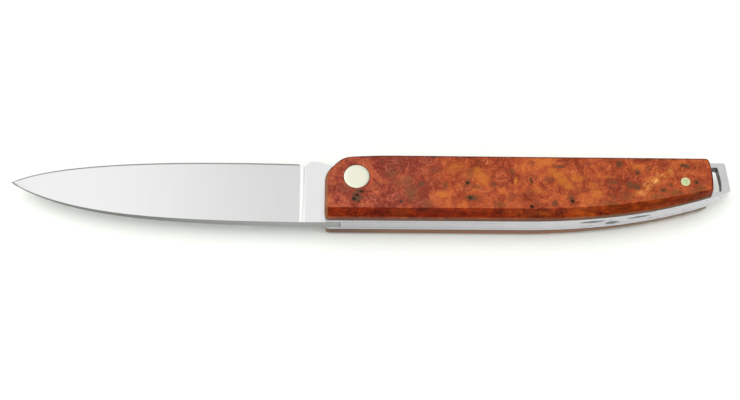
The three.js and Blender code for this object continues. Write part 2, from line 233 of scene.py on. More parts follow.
# Three painted dark reflections on the spine side: their place along the handle and height above
# the table, and half their length and height.
PAINTED_REFLECTIONS = ((63.2, 7.4, 4.4, 0.8), (68.6, 5.8, 2.4, 1.25), (75.8, 7.2, 3.9, 0.75))
SPECK_AND_REFLECTION_GREY = (0.05, 0.06, 0.07)
SHADOW_BROWN = (0.12, 0.09, 0.08)
JOINT_BLACK = (0.05, 0.05, 0.07)


def select_only(piece):
    """Makes a piece the only selected object, and the active one."""
    bpy.ops.object.select_all(action="DESELECT")
    piece.select_set(True)
    bpy.context.view_layer.objects.active = piece


def merged_copy(node, name):
    """A copy of a CAD node with its loose triangles joined into whole faces."""
    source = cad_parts[node]
    piece = bpy.data.objects.new(name, source.data.copy())
    piece.data.name = name
    bpy.context.scene.collection.objects.link(piece)
    select_only(piece)
    bpy.ops.object.mode_set(mode="EDIT")
    bpy.ops.mesh.select_all(action="SELECT")
    bpy.ops.mesh.remove_doubles(threshold=SAME_PLACE)
    bpy.ops.mesh.dissolve_limited(angle_limit=SAME_PLANE)
    bpy.ops.object.mode_set(mode="OBJECT")
    return piece


def ease_edges(piece, width, sharper_than, segments, where=None):
    """Breaks a piece's sharp edges, as a buffing wheel does. where picks edges by their middle."""
    select_only(piece)
    bpy.ops.object.mode_set(mode="EDIT")
    bpy.ops.mesh.select_mode(type="EDGE")
    bpy.ops.mesh.select_all(action="DESELECT")
    bpy.ops.mesh.edges_select_sharp(sharpness=math.radians(sharper_than))
    bpy.ops.object.mode_set(mode="OBJECT")
    if where:
        mesh = piece.data
        for edge in mesh.edges:
            start, end = (mesh.vertices[i].co for i in edge.vertices)
            edge.select = edge.select and where((start + end) / (2.0 * MM))
    bpy.ops.object.mode_set(mode="EDIT")
    bpy.ops.mesh.bevel(offset=width, segments=segments, affect="EDGES", clamp_overlap=True)
    bpy.ops.mesh.select_all(action="DESELECT")
    bpy.ops.object.mode_set(mode="OBJECT")


def settle(piece, finishes, body, slot, *nodes, smooth_below=30.0):
    """Smooths a finished piece, gives it its materials, and puts it on its body for its nodes."""
    select_only(piece)
    bpy.ops.object.shade_smooth_by_angle(angle=math.radians(smooth_below))
    even = piece.modifiers.new("even", "WEIGHTED_NORMAL")
    even.keep_sharp = True
    bpy.ops.object.modifier_apply(modifier="even")
    indexes = [face.material_index for face in piece.data.polygons]
    piece.data.materials.clear()
    for finish in finishes:
        piece.data.materials.append(finish)
    piece.data.polygons.foreach_set("material_index", indexes)
    if body:
        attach(piece, body)
    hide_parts(*nodes)


def feed(shader, **wires):
    """Joins wires to the shader's sockets."""
    for socket, wire in wires.items():
        wire.tree.links.new(wire.socket, shader.inputs[socket.replace("_", " ")])


def relief(height, depth):
    """A bump from a height wire."""
    return height.node("ShaderNodeBump", {}, {"Height": height, "Distance": depth})


def mixed(mask, first, second):
    """A colour that goes from the first to the second as the mask goes from 0 to 1."""
    return mask.node(
        "ShaderNodeMix",
        {"data_type": "RGBA"},
        {0: mask, 6: (*first, 1.0), 7: (*second, 1.0)},
        2,
    )


def handle_steel(name, tint, front=None):
    """The spine side's steel, darker towards the front. front is where the spring starts."""
    finish, shader, place = new_finish(name, Metallic=1.0)
    x, z = place.along("X"), place.along("Z")
    lines = place.vector("MULTIPLY", (0.30, 5.0, 5.0)).noise(1.0, 3.0, 0.6)
    clouds = place.noise(0.16, 3.0, 0.6)
    dull, bright = ([share * part for part in tint] for share in (0.39, 0.74))
    tone = mixed(0.35 * lines + 0.35 * clouds + 0.45 * x.rise(-12.0, 80.0), dull, bright)
    specks = place.vector("MULTIPLY", (0.16, 1.6, 1.6)).noise(1.0, 2.0, 0.5)
    dark = specks.rise(0.62, 0.72) * x.rise(52.0, 66.0)
    # Painted dark reflections: three dark streaks along the spine side, laid over the dark specks.
    for middle, height, half_length, half_height in PAINTED_REFLECTIONS:
        ahead = (x - middle) * (1.0 / half_length)
        aside = (z - height + 1.5 * (lines - 0.5)) * (1.0 / half_height)
        dark = dark.at_least((ahead * ahead + abs(aside)).rise(1.0, 0.5))
    tone = tone.tint(0.88 * dark, SPECK_AND_REFLECTION_GREY)
    # Shadow gathers under the upper scale, and in the joint between the spring and the tang.
    tone = tone.tint(z.rise(9.0, 9.3, 0.7), SHADOW_BROWN)
    if front is not None:
        tone = tone.tint(x.rise(front + 0.45, front + 0.25, 0.7), JOINT_BLACK)
    feed(
        shader,
        Base_Color=tone,
        Roughness=0.12 + 0.10 * clouds + 0.05 * lines,
        Normal=relief(lines, LINE_DEPTH),
    )
    return finish


liner_steel = handle_steel("liner_steel", (0.97, 0.94, 1.02))
for node in ("lower_liner", "upper_liner"):
    liner = merged_copy(node, "steel_" + node)
    ease_edges(liner, EASED_BY_WHEEL, sharper_than=40.0, segments=1)
    settle(liner, [liner_steel], "handle", "liner_steel", node)


# Back spring: one strip of spring steel along the spine side, that ends in the lanyard loop.
# It is pinned at the middle and the rear.
# The walls of the loop's hole have filing lines and are painted dark as shade, and its flat faces
# have a finer, brushed finish.
LOOP_FLATS_START = 94.4
# Where the loop's hole is, along and across the handle.
HOLE_FRONT, HOLE_REAR = 94.0, 99.3
HOLE_LOW, HOLE_HIGH = -6.0, 5.75


def polished_steel(name, dull, bright, roughness, lines_per_mm):
    """Metal with the fine lines of its last polish, at so many for each millimetre on each axis."""
    finish, shader, place = new_finish(name, Metallic=1.0)
    lines = place.vector("MULTIPLY", lines_per_mm).noise(1.0, 3.0, 0.6)
    clouds = place.noise(0.22, 3.0, 0.6)
    feed(
        shader,
        Base_Color=mixed(0.55 * lines + 0.45 * clouds, dull, bright),
        Roughness=roughness * (0.75 + 0.5 * clouds) + 0.05 * lines,
        Normal=relief(lines, LINE_DEPTH),
    )
    return finish


spring_front, spring_seam = (corner.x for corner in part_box("back_spring_arm"))
spring_steel = handle_steel("spring_steel", (0.98, 0.95, 1.02), spring_front / MM)
loop_steel = polished_steel(
    "loop_steel",
    dull=(0.50, 0.50, 0.505),
    bright=(0.70, 0.70, 0.705),
    roughness=0.30,
    lines_per_mm=(4.0, 0.4, 4.0),
)
# Painted shade: the walls of the loop's hole are painted dark.
hole_shade_steel = polished_steel(
    "hole_shade_steel",
    dull=(0.10, 0.10, 0.11),
    bright=(0.24, 0.24, 0.25),
    roughness=0.4,
    lines_per_mm=(4.0, 4.0, 0.4),
)
spring = merged_copy("back_spring", "back_spring_strip")
arm = merged_copy("back_spring_arm", "spring_arm_part")
select_only(spring)
arm.select_set(True)
bpy.ops.object.join()
bpy.ops.object.mode_set(mode="EDIT")
bpy.ops.mesh.select_mode(type="VERT")
bpy.ops.mesh.select_all(action="SELECT")
bpy.ops.mesh.remove_doubles(threshold=SAME_PLACE)
bpy.ops.mesh.select_all(action="DESELECT")
bpy.ops.mesh.select_mode(type="FACE")
bpy.ops.object.mode_set(mode="OBJECT")
for face in spring.data.polygons:
    at_seam = abs(face.center.x - spring_seam) < SAME_PLACE
    face.select = at_seam and abs(face.normal.x) > 0.999
bpy.ops.object.mode_set(mode="EDIT")
bpy.ops.mesh.delete(type="ONLY_FACE")
bpy.ops.mesh.select_all(action="SELECT")
bpy.ops.mesh.dissolve_limited(angle_limit=SAME_PLANE)
bpy.ops.object.mode_set(mode="OBJECT")
ease_edges(spring, EASED_BY_WHEEL, sharper_than=40.0, segments=1)
for face in spring.data.polygons:
    at, way = face.center / MM, face.normal
    in_hole = HOLE_FRONT < at.x < HOLE_REAR and HOLE_LOW < at.y < HOLE_HIGH
    on_spine = at.y < -0.5 and way.y < -0.3
    if at.x > LOOP_FLATS_START and abs(way.z) > 0.9:
        face.material_index = 2
    else:
        face.material_index = int(in_hole and not on_spine and abs(way.z) < 0.3)
settle(
    spring,
    [spring_steel, hole_shade_steel, loop_steel],
    None,
    "spring_steel",
    "back_spring",
    "back_spring_arm",
)
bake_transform(spring)


# Pivot bushing: a bronze sleeve between the liners, which the blade turns on.
# It is turned a hair longer than the blade is thick, so that the liners don't pinch it.
TURNED_LINES = (5.0, 5.0, 1.0)
turned_bronze = polished_steel(
    "turned_bronze",
    dull=(0.50, 0.33, 0.16),
    bright=(0.62, 0.42, 0.22),
    roughness=0.3,
    lines_per_mm=TURNED_LINES,
)
bushing = merged_copy("pivot_bushing", "bronze_bushing")
settle(bushing, [turned_bronze], "handle", "bushing_bronze", "pivot_bushing")


# Blade: one piece of stainless steel, with its tang, kick and choil.
# It is ground flat from the spine to the edge, and the grinding lines run across it. Where the
# grind stops, ahead of the tang, two painted highlights lie as bright lines, with a painted duller
# line between them.
EASED_ON_BLADE = 0.14 * MM
CUTTING_EDGE_REAR = -16.0
POLISHED_REAR = -7.0
# Where each line starts, is full, fades and ends, along the blade, and how grey it is.
PAINTED_PLUNGE_LINES = (
    (-15.45, -15.25, -14.75, -14.55, 0.77),
    (-14.75, -14.55, -14.35, -14.20, 0.58),
    (-14.35, -14.20, -13.95, -13.75, 0.73),
)


def mark_faces(piece, name, chosen):
    """Writes an attribute: 1 on each face that chosen picks by its middle and normal."""
    faces = piece.data.polygons
    values = [float(chosen(face.center / MM, face.normal)) for face in faces]
    piece.data.attributes.new(name, "FLOAT", "FACE").data.foreach_set("value", values)


def marked(place, name):
    """The mask of the faces that mark_faces picked under a name."""
    return place.node("ShaderNodeAttribute", {"attribute_name": name}, output="Fac")


def ground_steel():
    """Satin steel: fine grinding lines across the blade, a spine painted dark as shade and a
    polished edge.
    """
    finish, shader, place = new_finish("blade_steel", Metallic=1.0)
    x = place.along("X")
    wide = place.vector("MULTIPLY", (2.2, 0.04, 0.3)).noise(1.0, 2.0, 0.6)
    fine = place.vector("MULTIPLY", (9.0, 0.10, 1.0)).noise(1.0, 3.0, 0.65)
    clouds = place.noise(0.06, 2.0, 0.5)
    steel = mixed(
        0.5 * fine + 0.3 * wide + 0.2 * clouds, (0.56, 0.56, 0.565), (0.68, 0.68, 0.685)
    )
    # Painted shade: the blade is darker from its middle back towards the plunge.
    steel = steel.tint(0.35 * x.band(-70.0, -18.0, -15.5, -14.0), (0.42, 0.42, 0.42))
    # Painted highlights where the grind stops, with a painted duller line between them.
    for start, full, fading, end, grey in PAINTED_PLUNGE_LINES:
        steel = steel.tint(x.band(start, full, fading, end), (grey, grey, grey))
    # Painted shade: the spine faces are dark, darkest towards the tip.
    spine = mixed(x.rise(-70.0, -12.0), (0.15, 0.155, 0.15), (0.32, 0.32, 0.32))
    steel = steel.tint(marked(place, "spine"), spine)
    edge = marked(place, "edge")
    steel = steel.tint(edge, (0.34, 0.34, 0.345))
    feed(
        shader,
        Base_Color=steel,
        Roughness=0.22 + 0.10 * fine + 0.06 * clouds - 0.08 * edge,
        Normal=relief(0.6 * fine + 0.4 * wide, 0.006 * MM),
    )
    return finish


def off_the_edge(middle):
    """True for every edge of the blade but the cutting edge, which stays sharp."""
    return middle.x > CUTTING_EDGE_REAR or middle.y < 0.0


blade = merged_copy("blade", "ground_blade")
ease_edges(blade, EASED_ON_BLADE, sharper_than=50.0, segments=2, where=off_the_edge)
mark_faces(blade, "spine", lambda at, way: abs(way.z) < 0.4 and way.y < -0.3)
mark_faces(blade, "edge", lambda at, way: at.x < POLISHED_REAR and way.y > 0.2)
settle(blade, [ground_steel()], "blade", "blade_steel", "blade", smooth_below=14.0)


# Pivot pin and centre pin: drawn steel rods, peened into the liners.
# The rosettes hide the first, and the scales the second.
pin_steel = polished_steel(
    "pin_steel",
    dull=(0.55, 0.56, 0.58),
    bright=(0.66, 0.67, 0.69),
    roughness=0.25,
    lines_per_mm=TURNED_LINES,
)
for node in ("pivot_pin", "centre_pin"):
    pin = merged_copy(node, "steel_" + node)
    settle(pin, [pin_steel], "handle", "pin_steel", node)


# Scales: two slabs of burl wood, full of small eyes and curled grain, sanded and polished.
# Each is glued and pinned to its liner, and a long facet is cut along its spine side. The front
# edge is painted paler as a highlight, and the spine side is greyer and browner beside the liners,
# partly the wood's own colour and partly painted shade.
EASED_BY_SANDING = 0.08 * MM
MIDDLE_PLANE = 6.5
WOOD_BY_LIGHTNESS = [
    (0.34, (0.17, 0.020, 0.006)),
    (0.43, (0.26, 0.038, 0.012)),
    (0.50, (0.34, 0.060, 0.017)),
    (0.58, (0.41, 0.084, 0.020)),
    (0.68, (0.47, 0.115, 0.022)),
]
PALE_LINE = (0.58, 0.21, 0.085)
DARK_LINE = (0.17, 0.022, 0.007)
RED_HALO = (0.20, 0.024, 0.010)
EYE_CORE = (0.060, 0.018, 0.006)
RED_BROWN = (0.20, 0.042, 0.016)
GREY_BROWN = (0.175, 0.055, 0.015)
GOLD = (0.47, 0.140, 0.018)
PALE_GOLD = (0.64, 0.30, 0.09)
SALMON = (0.46, 0.078, 0.040)
MAROON = (0.13, 0.014, 0.006)
PALE_RING = (0.50, 0.14, 0.060)
DARK_RING = (0.15, 0.020, 0.007)
RED_RING = (0.22, 0.028, 0.009)
DARK_EYE = (0.095, 0.044, 0.016)
PIT_BLACK = (0.010, 0.005, 0.001)
# These three are painted light and shade: a highlight on the front edge, a shade line beside the
# liners, and a shade ring round the rosettes.
HIGHLIGHT_BROWN = (0.20, 0.095, 0.048)
SEAM_SHADE_BROWN = (0.030, 0.016, 0.012)
ROSETTE_SHADE_BROWN = (0.030, 0.016, 0.010)


def worked_faces(colour, place):
    """The burl's colour on the facet, the spine side, the rims, and where it meets metal."""
    x, z = place.along("X"), place.along("Z")
    # The facet is painted darker and redder as shade, and crosses lighter and darker layers of the
    # wood.
    facet = marked(place, "facet")
    facet_shade = mixed(x.rise(34.0, 48.0), (0.47, 0.21, 0.03), (0.50, 0.34, 0.13))
    layers = place.vector("MULTIPLY", (0.30, 0.8, 0.8)).noise(1.0, 3.0, 0.65)
    layers = 0.67 + 0.78 * layers.rise(0.30, 0.70)
    colour = colour.tint(facet, colour.vector("MULTIPLY", facet_shade).shade(layers))

    # The spine side is painted darker and less blue as shade. Beside the liners and on the whole
    # lower scale it is greyer and duller, partly the wood's own colour and partly painted shade,
    # and a band under the facet is painted darker as shade.
    side = marked(place, "side")
    from_middle = abs(z - MIDDLE_PLANE)
    greyed_and_shaded = from_middle.rise(4.9, 3.2, 0.6).at_least(z.rise(6.5, 5.5, 0.85))
    dull = mixed(x.rise(-8.0, 14.0), (0.13, 0.088, 0.062), (0.21, 0.112, 0.066))
    dull = dull.tint(x.rise(50.0, 80.0), (0.19, 0.15, 0.095))
    under_facet_shade = mixed(x.rise(10.0, 32.0), (0.80, 0.80, 0.72), (0.68, 0.62, 0.36))
    colour = colour.tint(side, colour.vector("MULTIPLY", (0.76, 0.70, 0.42)))
    colour = colour.tint(side * greyed_and_shaded, dull)
    colour = colour.tint(
        side * z.band(8.0, 9.0, 10.3, 11.7), colour.vector("MULTIPLY", under_facet_shade)
    )

    # The rim along the opening and the butt is painted darker, and the front edge is painted paler
    # as a highlight. A line of painted shade darkens the wood beside the liners, and a ring of
    # painted shade lies round the rosettes.
    worn = marked(place, "worn").at_least(x.rise(-7.4, -7.9))
    from_pivot = place.vector("MULTIPLY", (1.0, 1.0, 0.0)).vector("LENGTH", output="Value")
    colour = colour.tint(marked(place, "rim"), colour.vector("MULTIPLY", (0.42, 0.36, 0.36)))
    colour = colour.tint(0.75 * worn, HIGHLIGHT_BROWN)
    colour = colour.tint(0.85 * from_middle.rise(3.35, 3.00), SEAM_SHADE_BROWN)
    colour = colour.tint(0.6 * from_pivot.rise(3.72, 3.45), ROSETTE_SHADE_BROWN)
    return colour


def burl_wood(name, seed, marks):
    """Polished burl. marks has, by kind, the patches and eyes that each have their own place."""
    finish, shader, place = new_finish(name, Specular_IOR_Level=0.06, Coat_Roughness=0.15)
    x, y = place.along("X"), place.along("Y")
    # The grain drifts slowly and curls, and all of the wood's figure follows it. The marks keep
    # their places, and only their outlines curl and crumble.
    grain = place.vector("ADD", seed)
    drift, curl, crumb = (
        grain.noise(scale, 2.0, 0.6, "Color").vector("SUBTRACT", (0.5, 0.5, 0.5))
        for scale in (0.10, 0.50, 1.60)
    )
    flow = grain.vector("ADD", drift.vector("SCALE", Scale=10.0))
    flow = flow.vector("ADD", curl.vector("SCALE", Scale=2.6))
    spot = place.vector("ADD", curl.vector("SCALE", Scale=1.2))
    spot = spot.vector("ADD", crumb.vector("SCALE", Scale=1.3))

    def distances(kind):
        """How far it is to each mark of a kind, where 1 is the mark's own edge."""
        for along, across, half_length, half_width, strength in marks[kind]:
            away = spot.vector(
                "MULTIPLY_ADD",
                (1.0 / half_length, 1.0 / half_width, 0.0),
                (-along / half_length, -across / half_width, 0.0),
            )
            yield away.vector("LENGTH", output="Value"), strength

    def within(kind, softness):
        """A mask with each mark's strength at its middle, and 0 outside all marks of a kind."""
        found = None
        for distance, strength in distances(kind):
            mask = distance.rise(1.0, 1.0 - softness, strength)
            found = found.at_least(mask) if found else mask
        return found

    def nearest(kind):
        """How far it is to the nearest mark of a kind."""
        found = None
        for distance, strength in distances(kind):
            found = found.at_most(distance) if found else distance
        return found

    tone = flow.noise(0.13, 3.0, 0.6)
    figure = flow.noise(0.50, 3.0, 0.6)
    mottle = flow.noise(1.30, 3.0, 0.65)
    fine = flow.noise(3.40, 2.0, 0.6)
    front_part = (x + 8.0 * (tone - 0.5)).rise(27.0, 14.0)
    lightness = 0.75 * tone + 0.55 * figure + 0.36 * mottle - 0.34 - 0.045 * front_part
    colour = lightness.node("ShaderNodeValToRGB", {"stops": WOOD_BY_LIGHTNESS}, {0: lightness})

    # Curled growth lines: where a slow noise passes a round value, a thin line follows it.
    swirl = flow.noise(0.45, 1.0, 0.5) * 7.0
    swirl = swirl.math("FRACT", swirl)
    curly = within("curl", 0.7).at_least(0.25)
    pale_lines = 0.55 * swirl.band(0.0, 0.20, 0.25, 0.50) * curly
    dark_lines = 0.45 * swirl.band(0.50, 0.70, 0.85, 1.0) * curly
    colour = colour.tint(pale_lines, PALE_LINE)
    colour = colour.tint(dark_lines, DARK_LINE)

    # Small eyes in clusters everywhere: dark cores, each in a reddish ring.
    cells = flow.node(
        "ShaderNodeTexVoronoi", {"feature": "F1"}, {"Vector": flow, "Scale": 0.55}
    )
    clusters = grain.noise(0.09, 2.0, 0.5).rise(0.50, 0.60)
    small_eyes = cells.rise(0.14, 0.04) * clusters
    colour = colour.tint(0.35 * (cells.rise(0.46, 0.14) * clusters), RED_HALO)
    colour = colour.tint(0.6 * small_eyes, EYE_CORE)

    # Smooth patches, red-brown, grey-brown and golden, and the flames: short pale gold strokes
    # that lie slantwise over some of the gold.
    uneven = 0.55 + 0.45 * mottle.rise(0.35, 0.55)
    colour = colour.tint(within("brown", 0.6) * uneven, RED_BROWN)
    colour = colour.tint(within("grey", 0.7) * uneven, GREY_BROWN)
    colour = colour.tint(within("gold", 0.9), GOLD)
    slanted = place.node(
        "ShaderNodeCombineXYZ", {}, {0: 0.35 * (x + y), 1: 1.7 * (x - y)}
    )
    strokes = slanted.noise(1.0, 2.0, 0.5).rise(0.48, 0.60)
    colour = colour.tint(within("flame", 0.8) * strokes, PALE_GOLD)

    # Patches that are crumbled into salmon and maroon specks, and fewer all over the front part.
    flecked = within("fleck", 0.5).at_least(0.40 * front_part)
    crumbs = 0.5 * mottle + 0.5 * fine
    colour = colour.tint(0.65 * flecked * crumbs.rise(0.49, 0.60), SALMON)
    colour = colour.tint(0.65 * flecked * crumbs.rise(0.48, 0.38), MAROON)

    # Large eyes, ringed like an agate, then the dark eyes, each in a red ring, with their pits.
    eye = nearest("ringed eye")
    rings = 1.5 * eye + 3.0 * figure
    rings = rings.math("FRACT", rings)
    inside = eye.rise(1.25, 0.9)
    pale_rings = 0.22 * rings.band(0.0, 0.2, 0.25, 0.5) * inside
    dark_rings = 0.65 * rings.band(0.5, 0.75, 0.85, 1.0) * inside
    colour = colour.tint(pale_rings, PALE_RING)
    colour = colour.tint(dark_rings, DARK_RING)
    red_ring = nearest("dark eye").rise(1.9, 0.9) * figure.rise(0.25, 0.5)
    colour = colour.tint(0.45 * red_ring, RED_RING)
    colour = colour.tint(within("dark eye", 0.5) * uneven, DARK_EYE)
    pitted = within("pit", 0.5)
    colour = colour.tint(pitted, PIT_BLACK)

    # The front part is a little rosier, and fine pores run all through the wood.
    colour = colour.tint(front_part, colour.vector("MULTIPLY", (0.97, 1.06, 1.5)))
    pores = grain.vector("MULTIPLY", (2.4, 4.0, 4.0)).noise(1.0, 3.0, 0.7)
    colour = colour.shade(0.46 + 0.88 * pores)
    facet = marked(place, "facet")
    feed(
        shader,
        Base_Color=worked_faces(colour, place),
        Roughness=0.28 + 0.16 * pores - 0.16 * facet,
        Coat_Weight=0.03 * (1.0 - facet) * (1.0 - pitted),
        Normal=relief(0.6 * pores + 0.4 * mottle - 0.8 * small_eyes, 0.03 * MM),
    )
    return finish


# Each mark is its place along and across the handle, half its length and width, and its strength.
upper_marks = {
    "gold": [
        (32.2, 1.8, 2.1, 1.8, 0.6), (33.3, 0.4, 2.1, 2.1, 0.7), (34.3, -1.1, 1.7, 2.1, 0.6),
        (42.5, -1.4, 0.8, 1.8, 0.9), (23.0, -5.4, 1.9, 1.8, 0.65), (26.4, 3.0, 3.7, 2.4, 0.35),
        (52.3, 1.7, 1.9, 1.5, 0.6), (53.9, 0.4, 2.7, 1.8, 0.65), (55.1, -1.3, 2.9, 2.1, 0.7),
        (56.4, -2.8, 2.2, 1.8, 0.75), (59.1, -0.5, 3.2, 1.8, 0.5), (64.2, -5.0, 2.1, 2.4, 0.55),
        (62.7, -2.9, 2.1, 1.5, 0.35), (75.4, -4.7, 1.9, 1.5, 0.5), (77.4, -3.2, 2.1, 1.5, 0.6),
        (79.7, -1.1, 2.4, 1.5, 0.65), (82.2, 0.1, 2.1, 1.5, 0.5), (84.1, 1.2, 1.3, 1.8, 0.6),
        (48.3, -4.1, 2.4, 1.2, 0.4), (67.2, -0.2, 2.4, 0.9, 0.5), (74.9, 2.7, 1.9, 1.5, 0.4),
        (-4.5, 3.3, 1.1, 1.2, 0.3), (-6.3, -2.3, 1.3, 0.9, 0.4), (11.6, -10.1, 4.5, 1.3, 0.6),
        (49.0, -10.6, 4.0, 1.2, 0.45),
    ],
    "fleck": [
        (-5.0, 1.8, 2.1, 2.7, 0.8), (-5.2, -5.9, 2.1, 3.0, 1), (-2.5, -7.9, 2.1, 1.5, 0.8),
        (4.1, -6.7, 2.7, 2.4, 1), (2.8, 4.2, 2.4, 1.5, 0.7), (8.4, 3.0, 2.1, 1.8, 0.9),
        (9.7, -5.9, 2.4, 2.1, 1), (15.4, 2.4, 1.6, 2.1, 0.7), (21.0, 4.2, 2.1, 1.2, 1),
        (14.6, 5.7, 2.7, 1.2, 0.7), (38.9, -0.2, 2.9, 3.0, 0.8), (54.3, 3.8, 1.9, 1.0, 1),
        (28.3, -3.5, 2.1, 1.5, 0.7), (48.4, -1.4, 2.4, 1.2, 0.8), (79.1, 1.8, 1.9, 1.2, 0.7),
        (87.9, -4.7, 2.1, 1.2, 0.8), (74.3, -1.7, 1.9, 1.8, 0.8), (89.5, 3.6, 1.9, 1.2, 0.6),
        (35.2, -6.2, 2.1, 1.8, 0.6), (52.9, -8.2, 2.4, 1.8, 0.7), (19.0, -5.3, 1.1, 1.5, 0.5),
        (50.2, -8.5, 3.2, 0.9, 0.6), (58.5, 1.5, 1.6, 1.2, 0.6),
    ],
    "grey": [
        (9.2, 1.2, 2.4, 2.4, 0.8), (14.5, -4.7, 2.7, 3.6, 0.85), (13.5, -1.4, 2.4, 2.1, 0.75),
        (11.3, -2.0, 2.1, 2.1, 0.4), (18.9, -7.9, 2.4, 2.1, 0.6), (5.4, -2.3, 1.6, 1.2, 0.35),
        (-3.1, -3.2, 1.9, 2.1, 0.5), (38.0, -8.2, 2.7, 1.2, 0.7), (51.1, -1.0, 1.6, 1.5, 0.5),
        (30.3, 0.7, 1.5, 1.8, 0.6), (31.9, -3.2, 1.9, 1.0, 0.75), (30.9, -6.4, 3.2, 1.8, 0.55),
        (91.7, -3.5, 2.1, 1.5, 0.9), (90.0, -4.6, 2.6, 1.4, 0.8), (67.7, -8.0, 3.6, 1.2, 0.8),
        (74.5, -2.9, 1.6, 1.2, 0.6), (72.1, -5.9, 3.2, 1.5, 0.6), (85.0, -4.8, 3.2, 1.6, 0.85),
        (80.2, -6.0, 2.8, 1.4, 0.75), (62.9, -8.2, 2.4, 0.7, 0.6), (2.5, -2.3, 1.6, 1.2, 0.3),
        (57.0, -5.9, 1.9, 1.8, 0.5), (68.1, -5.9, 2.1, 1.5, 0.5),
    ],
    "brown": [
        (20.9, 1.9, 2.3, 1.4, 0.95), (11.1, 4.8, 2.4, 1.5, 0.5), (41.0, -6.2, 1.6, 1.8, 0.6),
        (46.1, -4.8, 1.9, 1.2, 0.5), (59.7, -4.1, 2.1, 1.2, 0.4), (62.6, 3.9, 2.1, 1.2, 0.4),
        (92.1, 3.3, 2.1, 1.8, 0.45), (76.3, -6.7, 2.7, 0.9, 0.4), (67.0, 4.8, 1.9, 0.9, 0.5),
        (82.8, 3.9, 1.9, 1.2, 0.3), (70.5, -9.8, 5.0, 1.6, 0.75),
    ],
    "ringed eye": [
        (38.9, -0.2, 2.9, 3.0, 1), (54.3, 3.5, 2.4, 1.3, 1), (46.8, 3.8, 1.5, 1.0, 1),
        (46.7, -1.4, 1.5, 1.8, 1), (79.1, 1.8, 2.0, 1.5, 1), (9.2, 2.7, 2.1, 2.1, 1),
        (74.0, -2.0, 2.1, 2.1, 1), (29.4, -2.3, 2.1, 2.1, 1), (88.3, 2.7, 2.7, 1.5, 1),
        (68.4, -2.3, 2.4, 2.1, 1), (-0.4, -5.9, 2.4, 2.7, 1), (19.4, 4.8, 1.6, 1.2, 1),
    ],
    "curl": [
        (35.0, 4.2, 3.5, 1.5, 0.9), (75.7, -4.4, 2.1, 1.5, 1), (77.9, -2.6, 2.1, 1.5, 1),
        (80.0, -0.8, 2.1, 1.5, 0.9), (58.5, 1.5, 2.1, 1.5, 0.9), (28.9, -3.5, 2.4, 1.8, 0.8),
        (34.7, -5.0, 2.4, 2.4, 0.6), (9.5, 3.9, 2.4, 1.8, 0.8), (9.7, -5.9, 2.9, 2.4, 0.7),
        (84.4, 0.9, 1.9, 1.8, 0.9), (52.8, -3.5, 1.9, 1.5, 0.6), (68.8, 3.0, 2.4, 1.5, 0.5),
        (48.3, -8.2, 2.7, 1.2, 0.7), (-3.1, -7.0, 3.2, 1.8, 0.5), (3.6, -6.4, 2.7, 2.1, 0.7),
        (90.0, 0.4, 2.4, 1.5, 0.5), (70.9, -4.1, 1.9, 1.8, 0.5),
    ],
    "flame": [
        (76.2, -4.4, 1.8, 1.6, 0.8), (77.8, -3.0, 1.9, 1.7, 1), (79.6, -1.2, 2.0, 1.7, 1),
        (81.6, 0.2, 1.6, 1.2, 0.6), (84.2, 1.6, 0.9, 1.6, 0.8),
    ],
    "dark eye": [
        (0.1, -6.4, 1.7, 1.5, 1), (0.8, -4.4, 1.3, 0.9, 0.95), (-0.8, -5.3, 0.8, 0.7, 0.8),
        (11.8, -7.4, 0.9, 0.8, 0.8), (7.1, 4.5, 0.6, 0.4, 1), (29.6, -2.0, 1.1, 1.1, 1),
        (30.5, -6.4, 2.0, 1.1, 0.95), (23.8, -2.6, 0.9, 1.1, 0.65), (17.2, -2.2, 1.0, 1.2, 0.85),
        (21.3, 5.9, 1.5, 0.4, 0.9), (36.6, -2.4, 0.9, 1.0, 0.65), (41.7, 1.5, 0.8, 1.1, 0.65),
        (30.5, 1.8, 0.9, 0.7, 0.5), (46.7, -1.3, 0.5, 1.4, 0.9), (46.5, -8.8, 0.7, 0.7, 1),
        (52.6, -8.0, 1.0, 1.0, 0.9), (57.2, -6.8, 0.7, 1.5, 0.95), (54.5, 2.9, 2.1, 0.5, 0.75),
        (70.4, 3.8, 1.1, 1.3, 0.9), (68.4, -1.6, 1.9, 0.7, 0.75), (68.1, -3.3, 1.0, 0.6, 0.8),
        (75.1, 1.1, 1.1, 1.0, 0.85), (72.9, -2.5, 1.0, 1.5, 0.8), (74.7, -3.2, 1.6, 1.0, 0.9),
        (78.1, 2.4, 0.5, 1.0, 0.5), (81.8, -4.0, 1.2, 1.0, 0.9), (83.8, -2.6, 0.9, 0.6, 0.8),
        (88.1, 3.0, 1.7, 0.7, 0.95), (90.8, -1.7, 1.1, 0.8, 0.95), (65.8, 2.3, 0.9, 0.6, 0.6),
        (52.2, -1.4, 0.4, 1.2, 0.5), (47.0, 3.9, 0.6, 0.5, 0.5), (32.8, 4.1, 0.9, 0.4, 0.5),
        (38.2, 4.8, 1.1, 0.5, 0.4), (71.6, -5.0, 0.8, 0.6, 0.4), (86.3, -5.0, 0.8, 0.6, 0.4),
    ],
    "pit": [
        (-0.7, -6.6, 0.6, 0.9, 0.75), (1.3, -4.4, 0.7, 0.5, 0.8), (0.1, -5.5, 0.8, 0.6, 0.85),
        (0.6, -7.4, 0.6, 0.5, 0.7), (29.6, -2.0, 0.5, 0.6, 1), (46.5, -8.8, 0.7, 0.65, 1),
        (57.2, -7.2, 0.4, 0.6, 1), (46.7, -1.9, 0.3, 0.5, 0.85), (11.8, -7.4, 0.4, 0.4, 0.7),
        (30.3, -6.4, 0.7, 0.4, 0.7), (75.1, 1.0, 0.4, 0.4, 0.6), (87.9, 3.0, 0.9, 0.3, 0.75),
        (90.9, -1.7, 0.5, 0.3, 0.8), (81.8, -4.0, 0.5, 0.4, 0.6), (70.4, 3.9, 0.4, 0.4, 0.5),
    ],
}
